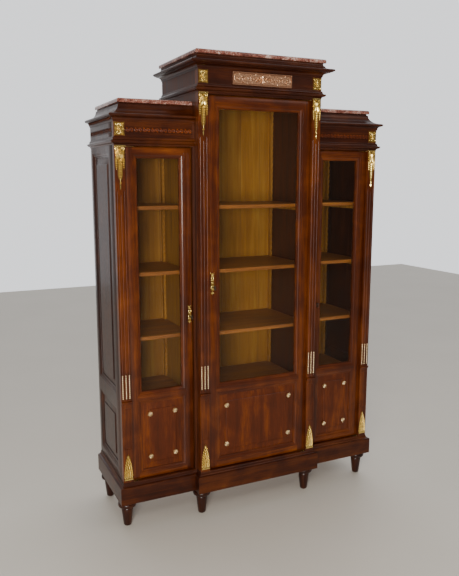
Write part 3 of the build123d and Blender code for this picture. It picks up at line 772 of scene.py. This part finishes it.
# The plates behind the castings take this dim gilt: painted shade where it shows between them.
SHADED_GILT_GROUND = metal("shaded_gilt_ground", (0.10, 0.058, 0.012), (0.34, 0.21, 0.055), 0.42)
COPPER_GROUND = metal("copper_ground", (0.24, 0.105, 0.052), (0.55, 0.30, 0.18), 0.40)
ROSE_GILT = metal("copper_gilt", (0.42, 0.200, 0.100), (0.92, 0.60, 0.38), 0.26)
PALE_GILT = metal("pale_gilt", (0.58, 0.38, 0.18), (1.0, 0.83, 0.54), 0.30)
BRASS = metal("dull_brass", (0.06, 0.035, 0.012), (0.28, 0.18, 0.07), 0.42)
STEEL = metal("dark_steel", (0.030, 0.025, 0.020), (0.13, 0.11, 0.09), 0.35)
PLATE = 1.6


def leaf(length, width, crown=2.0, lobes=0.25, count=4, curl=1.5, rows=12, columns=6):
    """A leaf casting in mm: root at the origin, tip up, crowned and ribbed towards -Y."""
    piece = made(bpy.ops.mesh.primitive_grid_add, x_subdivisions=columns, y_subdivisions=rows, size=2)
    for vert in piece.data.vertices:
        across, along = vert.co.x, (vert.co.y + 1) / 2
        half = width / 2 * sin(pi * (0.10 + 0.90 * along) ** 0.85) ** 0.8
        half *= 1 - lobes * abs(cos(count * pi * along)) * (1 - along * 0.5)
        rise = crown * (1 - across ** 2) + 0.7 * max(0, 1 - 4 * abs(across)) + curl * along ** 3
        vert.co = (across * half * MM, -rise * MM, length * along * MM)
    only(piece)
    shell = piece.modifiers.new("thickness", "SOLIDIFY")
    shell.thickness, shell.offset = 1.0 * MM, -1.0
    bpy.ops.object.modifier_apply(modifier="thickness")
    return piece


def bead(radius, half_length=0.0):
    """A bead in mm, or a long bead standing upright."""
    piece = made(bpy.ops.mesh.primitive_uv_sphere_add, segments=12, ring_count=8, radius=radius * MM)
    piece.scale.z = (half_length or radius) / radius
    bpy.ops.object.transform_apply(scale=True)
    return piece


def ring(major, minor):
    """A ring in mm, facing -Y."""
    return made(bpy.ops.mesh.primitive_torus_add, major_radius=major * MM, minor_radius=minor * MM,
                major_segments=20, minor_segments=8, rotation=(pi / 2, 0, 0))


def lay(kind, places):
    """Copies of one casting, each at (x, y, z) in metres, turned clockwise by degrees, to a size."""
    copies = []
    for x, y, z, turn, size in places:
        copy = bpy.data.objects.new(kind.name, kind.data.copy())
        bpy.context.collection.objects.link(copy)
        copy.data.transform(Matrix.Translation((x, y, z)) @ Matrix.Rotation(radians(turn), 4, "Y")
                            @ Matrix.Scale(size, 4))
        copies.append(copy)
    return copies


def star(kind, x, y, z, size, start=0):
    """Eight castings round a point, the first turned to start."""
    return lay(kind, [(x, y, z, turn, size) for turn in range(start, 360 + start, 45)])


def gild(pieces, metal_finish):
    """Joins castings and their plates; whatever has no finish yet takes this one."""
    for piece in pieces:
        if not piece.data.materials:
            piece.data.materials.append(metal_finish)
    return join(pieces)


def plate(outline, face, thick=PLATE, ground=SHADED_GILT_GROUND):
    """A thin plate on a face, cut to an outline of (x, z) points, in a dim gilt by default: painted shade
    behind the castings, and painted shade in its hollows.
    """
    piece = made(bpy.ops.mesh.primitive_circle_add, vertices=len(outline), fill_type="NGON")
    edit(piece)
    mesh = bmesh.from_edit_mesh(piece.data)
    for vert, (x, z) in zip(mesh.verts, outline):
        vert.co = (x, face, z)
    bmesh.update_edit_mesh(piece.data)
    bpy.ops.mesh.extrude_region_move(TRANSFORM_OT_translate={"value": (0, -thick * MM, 0)})
    piece.data.materials.append(ground)
    return leave(piece)


def both(half_outline):
    """An outline of (x, z) mirrored about x = 0, from its right half."""
    return half_outline + [(-x, z) for x, z in reversed(half_outline) if x > 1e-6]


def placed(outline, x, z):
    return [(x + across * MM, z + up * MM) for across, up in outline]


BIG_LEAF = leaf(30, 13, 3.0, 0.30, 4, 2.5)
SLIM_LEAF = leaf(26, 7.5, 2.2, 0.12, 3, 1.5, 10, 4)
HUSK = leaf(13, 7.5, 2.4, 0.0, 1, 1.0, 8, 4)
BEAD = bead(2.0)
LONG_BEAD = bead(3.2, 4.3)
EGG = bead(4.0, 5.6)
SMALL_RING = ring(5.0, 1.5)

# Pendants on the pilasters: a palmette over an acanthus head, husk strings at each side and a
# column of paired leaves that runs out in beads and a long tip.
pendant_outline = both([(0, 0), (23, 0), (23, -6), (20.5, -12), (21.5, -26), (19.5, -46), (15, -60),
                        (11, -70), (10.5, -132), (7, -146), (2.8, -152), (2.4, -176), (3.2, -184),
                        (0, -197)])
gilding = []
for kind, x, face in pilasters:
    top = PENDANT_TOPS[kind]
    front = face - PLATE * MM

    def at(across, down, turn=0.0, size=1.0, x=x, front=front, top=top):
        return (x + across * MM, front, top - down * MM, turn, size)

    gilding.append(plate(placed(pendant_outline, x, top), face))
    gilding.append(board((x - 23 * MM, face - 5 * MM, top - 3.6 * MM), (x + 23 * MM, face, top)))
    gilding += lay(BEAD, [at(across, 6.2, 0, 0.8) for across in range(-20, 21, 4)])
    gilding += lay(SMALL_RING, [at(hand * 14.5, 15.5, 0, 1.15) for hand in (-1, 1)])
    gilding += lay(BEAD, [at(hand * 14.5, 15.5, 0, 1.6) for hand in (-1, 1)])
    gilding += lay(SLIM_LEAF, [at(0, 40, turn, 1.0 + 0.22 * cos(radians(turn)))
                               for turn in range(-75, 76, 25)])
    gilding += lay(BIG_LEAF, [at(hand * 3, 38, 180 - hand * turn, size) for hand in (-1, 1)
                              for turn, size in ((62, 0.74), (38, 0.90), (14, 1.0))])
    gilding += lay(SMALL_RING, [at(0, 42, 0, 1.2)])
    gilding += lay(BEAD, [at(0, 42, 0, 2.3)])
    for hand in (-1, 1):
        for step in range(5):
            down, size = 55 + step * 9.6, 1.0 - step * 0.08
            gilding += lay(HUSK, [at(hand * 17, down, 180 - lean, size * 0.85) for lean in (-34, 34, 0)])
        gilding += lay(BEAD, [at(hand * 17, 103.5, 0, 0.8)])
    for step in range(7):
        down, size = 62 + step * 11.5, 1.16 - step * 0.075
        gilding += lay(HUSK, [at(0, down, 180 - lean, size) for lean in (-46, 46)]
                       + [at(0, down + 2, 180, size)])
    gilding += lay(BEAD, [at(0, down, 0, size) for down, size in ((147, 1.8), (153.5, 1.3), (158.5, 1.0))])
    gilding += lay(HUSK, [at(0, 159, 180 - lean, 0.72) for lean in (-24, 24)] + [at(0, 160, 180, 0.85)])
    gilding += lay(SLIM_LEAF, [at(0, 170, 180, 0.95)])
finish(gild(gilding, GILT), "gilt_pendants", "carcass", "gilt_bronze", [], ["pilaster_mounts"], 40)

# Bead strings let into the flutes above each ledge, three to a pilaster.
strings = []
for kind, x, face in pilasters:
    foot = (658 if kind == "side" else 667) * MM
    for step in (-1, 0, 1):
        across = x + step * FLUTE_SPACING
        strings.append(board((across - 1.2 * MM, face - 0.8 * MM, foot),
                             (across + 1.2 * MM, face + 1 * MM, foot + 117 * MM)))
        strings += lay(LONG_BEAD, [(across, face - 0.6 * MM, foot + (4.4 + 9.02 * n) * MM, 0, 1)
                                   for n in range(13)])
finish(gild(strings, PALE_GILT), "gilt_bead_strings", "carcass", "gilt_bronze", [], (), 60)

# Foliage at the foot of each pilaster: tiers of upright leaves narrowing to a bud.
foliage_outline = both([(0, 0), (21, 0), (21, 7), (18, 10), (17.5, 50), (15, 66), (13.5, 88), (10, 104),
                        (6, 118), (0, 130)])
TIERS = ((5, 15.5), (5, 15), (5, 14.5), (4, 13), (4, 12), (3, 10), (3, 7), (2, 4), (1, 0))
sprays = []
for kind, x, face in pilasters:
    base, front = 254 * MM, face - PLATE * MM
    sprays.append(plate(placed(foliage_outline, x, base), face))
    sprays.append(board((x - 21 * MM, face - 5.5 * MM, base), (x + 21 * MM, face, base + 4 * MM)))
    sprays.append(board((x - 19 * MM, face - 4 * MM, base + 5 * MM), (x + 19 * MM, face, base + 7 * MM)))
    for tier, (count, half) in enumerate(TIERS):
        level = base + (6 + tier * 12.4) * MM
        for step in range(count):
            lean = 0.0 if count == 1 else step / (count - 1) * 2 - 1
            size = (0.76 - tier * 0.018) * (1.10 - 0.18 * abs(lean))
            sprays += lay(BIG_LEAF, [(x + lean * half * MM, front + (tier - 4) * 0.15 * MM, level,
                                      lean * 14, size)])
    sprays += lay(BEAD, [(x + across * MM, front - 2.4 * MM, base + (12 + tier * 24.8) * MM, 0, 1.1)
                         for tier in range(4) for across in (-7 + tier * 1.2, 7 - tier * 1.2)])
finish(gild(sprays, GILT), "gilt_foliage", "carcass", "gilt_bronze", [], (), 40)

# Square reliefs on the four frieze blocks: a rosette in a raised border, leaves to the corners.
blocks = []
for kind, x, face in pilasters:
    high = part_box(f"pilasters_{kind}")[1][2] - 1 * MM
    middle = high - 29.5 * MM
    square = [(x + a * 24 * MM, middle + b * 29.5 * MM) for a, b in
              ((-1, -1), (-0.5, -0.93), (0.5, -0.93), (1, -1), (0.9, -0.5), (0.9, 0.5), (1, 1), (0.5, 0.93),
               (-0.5, 0.93), (-1, 1), (-0.9, 0.5), (-0.9, -0.5))]
    border = plate(square, face, 3.4)
    edit(border)
    pick(border, facing_front)
    inset(2.6 * MM)
    inset(0.8 * MM, -1.8 * MM)
    blocks.append(leave(border))
    front = face - 1.6 * MM
    blocks += star(BIG_LEAF, x, front, middle, 0.54)
    blocks += star(HUSK, x, front - 1.2 * MM, middle, 0.7, 22)
    blocks += lay(BEAD, [(x, front - 2.4 * MM, middle, 0, 1.9)])
    blocks += lay(SMALL_RING, [(x + a * MM, front, middle + b * MM, 0, 0.62)
                               for a, b in ((0, 21), (0, -21), (15.5, 0), (-15.5, 0), (9, 16), (-9, 16),
                                            (9, -16), (-9, -16))])
    blocks += lay(BEAD, [(x + a * MM, front - 0.6 * MM, middle + b * MM, 0, 0.9)
                         for a in (-16, -8, 0, 8, 16) for b in (-21, -10.5, 10.5, 21)])
    blocks += lay(SLIM_LEAF, [(x + a * 19 * MM, front, middle + b * 24 * MM, turn, 0.46)
                              for a, b, corner in ((1, 1, 225), (-1, 1, 135), (1, -1, 315), (-1, -1, 45))
                              for turn in (corner - 38, corner, corner + 38)])
finish(gild(blocks, GILT), "gilt_block_reliefs", "carcass", "gilt_bronze", [], ["frieze_mounts"], 40)

# The long relief on the centre frieze: copper-gilt, scrolling foliage each way from a rosette.
plaque_middle = (2106 + 2163) / 2 * MM
corners = [(a * 156 * MM, plaque_middle + b * 28.5 * MM) for a, b in ((-1, -1), (1, -1), (1, 1), (-1, 1))]
field = plate(corners, FRONT_CENTRE, 7.0, COPPER_GROUND)
edit(field)
pick(field, facing_front)
inset(2.5 * MM)
inset(1.0 * MM, -2.6 * MM)
inset(1.5 * MM)
inset(0.6 * MM, 0.8 * MM)
inset(0.6 * MM, -0.8 * MM)
relief = [leave(field)]
front = FRONT_CENTRE - 4.2 * MM


def scroll(points, thick):
    """A round stem in mm through (x, z) points, at the plaque's or band's face."""
    curve = bpy.data.curves.new("stem", "CURVE")
    curve.dimensions, curve.bevel_depth, curve.bevel_resolution = "3D", thick * MM, 2
    curve.use_fill_caps = True
    path = curve.splines.new("POLY")
    path.points.add(len(points) - 1)
    for point, (x, y, z) in zip(path.points, points):
        point.co = (x, y, z, 1)
    piece = bpy.data.objects.new("stem", curve)
    bpy.context.collection.objects.link(piece)
    only(piece)
    bpy.ops.object.convert(target="MESH")
    return bpy.context.object


for hand in (-1, 1):
    for number, (start, flip) in enumerate(((26, 1), (68, -1), (110, 1))):
        middle = start + 21
        coil = []
        for step in range(40):
            turn = step / 39 * 3.2 * pi
            radius = 19.0 * (1 - step / 39) ** 0.8 + 2.0
            coil.append((hand * (middle - radius * cos(turn) * 1.05) * MM, front,
                         plaque_middle + flip * radius * sin(turn) * 0.95 * MM))
        relief.append(scroll(coil, 1.5))
        for step in range(0, 26, 4):
            x, y, z = coil[step]
            outward = degrees(atan2(x - hand * middle * MM, z - plaque_middle))
            relief += lay(HUSK, [(x, y, z, outward + hand * flip * 40, 0.9 - step * 0.016)])
        relief += lay(HUSK, [(hand * middle * MM, front - 0.6 * MM, plaque_middle, turn, 0.62)
                             for turn in range(0, 360, 60)])
        relief += lay(BEAD, [(hand * middle * MM, front - 2.0 * MM, plaque_middle, 0, 1.2)])
    relief += lay(SLIM_LEAF, [(hand * 18 * MM, front, plaque_middle, hand * turn, 0.8)
                              for turn in (55, 90, 125)])
relief += star(BIG_LEAF, 0, front, plaque_middle, 0.74)
relief += star(HUSK, 0, front - 1.6 * MM, plaque_middle, 0.8, 22)
relief += lay(BEAD, [(0, front - 3 * MM, plaque_middle, 0, 2.2)])
finish(gild(relief, ROSE_GILT), "copper_gilt_plaque", "carcass", "gilt_bronze", [], (), 40)

# Door mounts: four small rosettes on each lower panel's field, and a leafy escutcheon round
# each keyhole.
for section, (face, lower) in doors.items():
    door = f"door_{section}"
    inset = (35 if section == "centre" else 38) * MM
    x_low, x_high, z_low, z_high = lower
    field_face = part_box(f"{door}_panel")[0][1]
    rosettes = []
    for x in (x_low + inset, x_high - inset):
        for z in (z_low + 61 * MM, z_high - 55 * MM):
            disc = [(x + 12 * MM * cos(radians(a)), z + 12 * MM * sin(radians(a)))
                    for a in range(0, 360, 12)]
            rosettes.append(plate(disc, field_face, 1.4))
            petal_face = field_face - 1.2 * MM
            rosettes += star(BIG_LEAF, x, petal_face, z, 0.40)
            rosettes += star(HUSK, x, petal_face - 1.0 * MM, z, 0.55, 22)
            rim = [(x + 11 * MM * sin(radians(a)), z + 11 * MM * cos(radians(a)))
                   for a in range(0, 360, 20)]
            rosettes += lay(BEAD, [(rim_x, petal_face, rim_z, 0, 0.55) for rim_x, rim_z in rim])
            rosettes += lay(BEAD, [(x, petal_face - 2.0 * MM, z, 0, 1.35)])
    finish(gild(rosettes, PALE_GILT), f"{door}_rosettes", door, "gilt_bronze", [],
           [f"{door}_mounts"], 40)

    x, half, bottom, top, hole = KEYHOLES[section]
    tall = top - bottom
    key = hole - bottom
    outline = both([(0, tall - 8), (2.0, tall - 14), (2.4, tall - 26), (half * 0.5, key + 16),
                    (half * 0.72, key + 4), (half * 0.72, key - 4), (half * 0.4, key - 11),
                    (2.2, tall * 0.2), (0, 3)])
    scutcheon = [plate(placed(outline, x * MM, bottom * MM), face, 1.4)]
    front = face - 1.3 * MM

    def spot(across, up, turn=0.0, size=1.0, x=x, bottom=bottom, front=front):
        return (x * MM + across * MM, front, (bottom + up) * MM, turn, size)

    scutcheon += lay(HUSK, [spot(0, tall - 13, turn, 1.0) for turn in (-36, 36, 180 - 38, 180 + 38)])
    scutcheon += lay(BEAD, [spot(0, tall - 13, 0, 1.1)]
                     + [spot(hand * half * 0.72, tall - 3, 0, 0.9) for hand in (-1, 1)])
    scutcheon += lay(SMALL_RING, [spot(0, tall - 29, 0, half * 0.095)])
    for row in range(2 if section == "centre" else 1):
        up = tall - 34 - row * 13
        scutcheon += lay(HUSK, [spot(0, up, 180 - lean, 1.05) for lean in (-38, 38)]
                         + [spot(0, up, 180, 0.8)])
    scutcheon += lay(SMALL_RING, [spot(0, key, 0, 1.3)])
    scutcheon += lay(HUSK, [spot(0, key - 8, 180 - lean, 0.95) for lean in (-52, 52)])
    scutcheon += lay(HUSK, [spot(0, tall * 0.17, 180 - lean, 1.0) for lean in (-60, 60, 0)])
    scutcheon += lay(BEAD, [spot(0, tall * 0.17, 0, 1.3)])
    finish(gild(scutcheon, GILT), f"{door}_escutcheon", door, "gilt_bronze", [], (), 40)

# ------------------------------------------------------------
# Carved frieze bands: running scrolls on the fronts, interlaced rings on the outer sides, cut in
# the solid between two fillets. The front carving is a bright golden copy of the mahogany, painted
# highlight, on a ground of the darker moulding wood, painted shade.
HIGHLIT_CARVING = mahogany("carved_mahogany_painted_highlight", GRAIN["across"], 4.2, figure=0.3)
bands = []
BAND = (1881 * MM, 1904 * MM)
band_middle = sum(BAND) / 2
SIDE_LOW, SIDE_HIGH = -128.5 * MM, 252.5 * MM
RINGS = 17


def band_ground(x_low, x_high, face):
    """A band's ground with a fillet along each edge, facing -Y, in the darker moulding wood: painted shade.
    """
    pieces = [board((x_low, face - 0.8 * MM, BAND[0]), (x_high, face + 0.5 * MM, BAND[1]))]
    for z in (BAND[0], BAND[1] - 2 * MM):
        pieces.append(board((x_low, face - 2.4 * MM, z), (x_high, face, z + 2 * MM)))
    for piece in pieces:
        piece.data.materials.append(SHADED_RUN_FINISHES[0])
    return pieces


for hand in (-1, 1):
    low, high = sorted((hand * 340 * MM, hand * 655 * MM))
    bands += band_ground(low, high, FRONT_SIDE)
    pitch = (high - low) / 8
    for number in range(8):
        middle = low + pitch * (number + 0.5)
        for flip in (-1, 1):
            coil = []
            for step in range(22):
                turn = step / 21 * 2.6 * pi
                radius = 7.2 * (1 - step / 21) ** 0.75 + 0.8
                coil.append((middle + flip * (9.0 - radius * cos(turn) * 1.1) * MM, FRONT_SIDE - 1.2 * MM,
                             band_middle + flip * radius * sin(turn) * 1.05 * MM))
            bands.append(scroll(coil, 1.15))
            bands += lay(HUSK, [(middle + flip * 8.5 * MM, FRONT_SIDE - 0.8 * MM,
                                 band_middle - flip * 7.5 * MM, flip * 70, 0.6)])
        bands += lay(BEAD, [(middle, FRONT_SIDE - 1.2 * MM, band_middle, 0, 1.0)])
    runs = band_ground(SIDE_LOW, SIDE_HIGH, 0.0)
    for number in range(RINGS):
        along = SIDE_LOW + (SIDE_HIGH - SIDE_LOW) * (number + 0.5) / RINGS
        runs += lay(SMALL_RING, [(along, -1.0 * MM, band_middle, 0, 1.45)])
        runs += lay(BEAD, [(along, -1.0 * MM, band_middle, 0, 1.3)])
        between = along + (SIDE_HIGH - SIDE_LOW) / RINGS / 2
        runs += lay(BEAD, [(between, -0.8 * MM, band_middle + up * MM, 0, 0.75) for up in (-6.2, 6.2)])
    front_end = SIDE_LOW - 14 * MM if hand > 0 else SIDE_HIGH + 14 * MM
    step = hand * 11.6 * MM
    runs += lay(EGG, [(front_end + n * step, -9.5 * MM, 1940.5 * MM, 0, 1.0) for n in range(34)])
    runs += lay(BEAD, [(front_end + (n + 0.5) * step, -9.5 * MM, 1941.5 * MM, 0, 0.7) for n in range(33)])
    side_run = gild(runs, SHADED_RUN_FINISHES[0])
    back_shift = 0 if hand > 0 else SIDE_LOW + SIDE_HIGH
    side_run.data.transform(Matrix.Translation((hand * HALF_WIDTH, back_shift, 0))
                            @ Matrix.Rotation(radians(90) * hand, 4, "Z"))
    bands.append(side_run)
finish(gild(bands, HIGHLIT_CARVING), "carved_bands", "carcass", "mahogany", [], ["carved_bands"], 40)
for pattern in (BIG_LEAF, SLIM_LEAF, HUSK, BEAD, LONG_BEAD, EGG, SMALL_RING):
    bpy.data.objects.remove(pattern)

# ------------------------------------------------------------
# Inside: decks, shelves, battens and toothed racks in waxed brown wood, the back of golden
# upright boards. The carcass boards keep their plain shapes.
inner = Finish("waxed_shelf_wood", Specular_IOR_Level=0.4)
grain = inner.place((0.06, 1.0, 1.0))
tone = inner.noise(grain, 40.0, 5.0, 0.6, 0.5) * 0.7 + inner.noise(inner.place(), 5.0) * 0.3
inner.wear(Base_Color=inner.ramp(tone, (0.3, (0.12, 0.036, 0.004)), (0.5, (0.24, 0.080, 0.008)),
                                 (0.7, (0.40, 0.155, 0.020))),
           Roughness=0.36 + tone * 0.2)
inner.bump(tone, 0.0002, 0.4)

BACK_REACH = 0.713
BOARD_WIDTH = 0.1182
back = Finish("golden_back_boards", Specular_IOR_Level=0.35)
grain = back.place((1.0, 1.0, 0.05))
tone = back.noise(grain, 45.0, 5.0, 0.6, 0.6) * 0.6 + back.noise(back.place((1, 1, 0.1)), 9.0) * 0.4
golden = back.ramp(tone, (0.3, (0.23, 0.085, 0.006)), (0.5, (0.39, 0.170, 0.013)),
                   (0.68, (0.54, 0.29, 0.034)))
spot = back.place()
sideways = back.axis(spot, "X")
boards = (sideways + BACK_REACH) / BOARD_WIDTH
number = boards.maths("FLOOR", boards)
within = boards - number
tint = back.node("ShaderNodeTexWhiteNoise", {"noise_dimensions": "1D"}, {"W": number})
golden = back.mix(tint * 0.42, golden, (0.16, 0.062, 0.006, 1))
rearward = back.axis(spot, "Y")
outside = back.clamp(rearward, 0.2642, 0.2644)
bare = back.mix(tone, (0.050, 0.026, 0.011, 1), (0.16, 0.090, 0.042, 1))
golden = back.mix(outside * 0.85, golden, bare)
joint = back.clamp(within, 0.0, 0.022, 1.0, 0.0)
golden = back.mix(joint * 0.8, golden, (0.022, 0.009, 0.002, 1))
upward = back.axis(spot, "Z")
stained_edge = back.clamp(sideways * sideways, 0.3265 ** 2, 0.3268 ** 2) * back.clamp(upward, 1.95, 1.96)
back.wear(Base_Color=back.mix(stained_edge, golden, (0.045, 0.008, 0.001, 1)), Roughness=0.42 + tone * 0.2)
back.bump(tone * 0.2 - joint, 0.001, 0.5)

# Racks and the side sections' thin inner walls are the same golden wood; the case's own
# partitions, between them, are dark polished mahogany.
rack = Finish("golden_rack_wood", Specular_IOR_Level=0.35)
grain = rack.place((1.0, 1.0, 0.08), (0.2, 0.5, 0.1))
tone = rack.noise(grain, 60.0, 5.0, 0.6, 0.4)
rack.wear(Base_Color=rack.ramp(tone, (0.3, (0.20, 0.075, 0.007)), (0.7, (0.42, 0.20, 0.026))),
          Roughness=0.40 + tone * 0.2)
rack.bump(tone, 0.0002, 0.4)

lined = Finish("partition_wood", Specular_IOR_Level=0.35)
spot = lined.place()
grain = lined.place((1.0, 1.0, 0.06))
tone = lined.noise(grain, 50.0, 5.0, 0.6, 0.5)
sideways = lined.axis(spot, "X")
backward = lined.axis(spot, "Y")
golden = lined.ramp(tone, (0.3, (0.17, 0.066, 0.005)), (0.7, (0.36, 0.165, 0.018)))
dark = lined.ramp(tone, (0.3, (0.020, 0.0035, 0.0006)), (0.7, (0.085, 0.018, 0.0020)))
lining = (lined.clamp(sideways * sideways, 0.32701 ** 2, 0.32709 ** 2)
          * lined.clamp(backward, -0.150, -0.149))
lined.wear(Base_Color=lined.mix(lining, dark, golden), Roughness=0.34 + tone * 0.2)
lined.bump(tone, 0.0002, 0.4)

pane = Finish("clear_glass", Base_Color=(0.03, 0.03, 0.025, 1), Alpha=0.06, Specular_IOR_Level=1.0,
                      Coat_Weight=1.0, Coat_Roughness=0.02)
haze = pane.noise(pane.place(), 5.0, 3.0)
pane.wear(Roughness=pane.clamp(haze, 0.3, 0.8, 0.02, 0.07))

# Hidden and plain pieces that keep their made shape take their slot's finish.
CAD_FINISHES = {"mahogany": ACROSS, "inner_wood": inner.material,
                "back_boards": back.material, "glass": pane.material,
                "gilt_bronze": GILT, "brass": BRASS, "dark_steel": STEEL,
                "marble": marble.material}
# The frieze boards take the darker moulding wood, painted shade.
OWN_FINISHES = {"partitions": lined.material, "racks": rack.material,
                "battens": rack.material, "frieze_boards": SHADED_RUN_FINISHES[0]}
for entry in frame["record"]["subparts"]:
    node = frame["nodes"][entry["node"]]
    node.data.materials.clear()
    node.data.materials.append(OWN_FINISHES.get(entry["node"], CAD_FINISHES[entry["material_slot"]]))
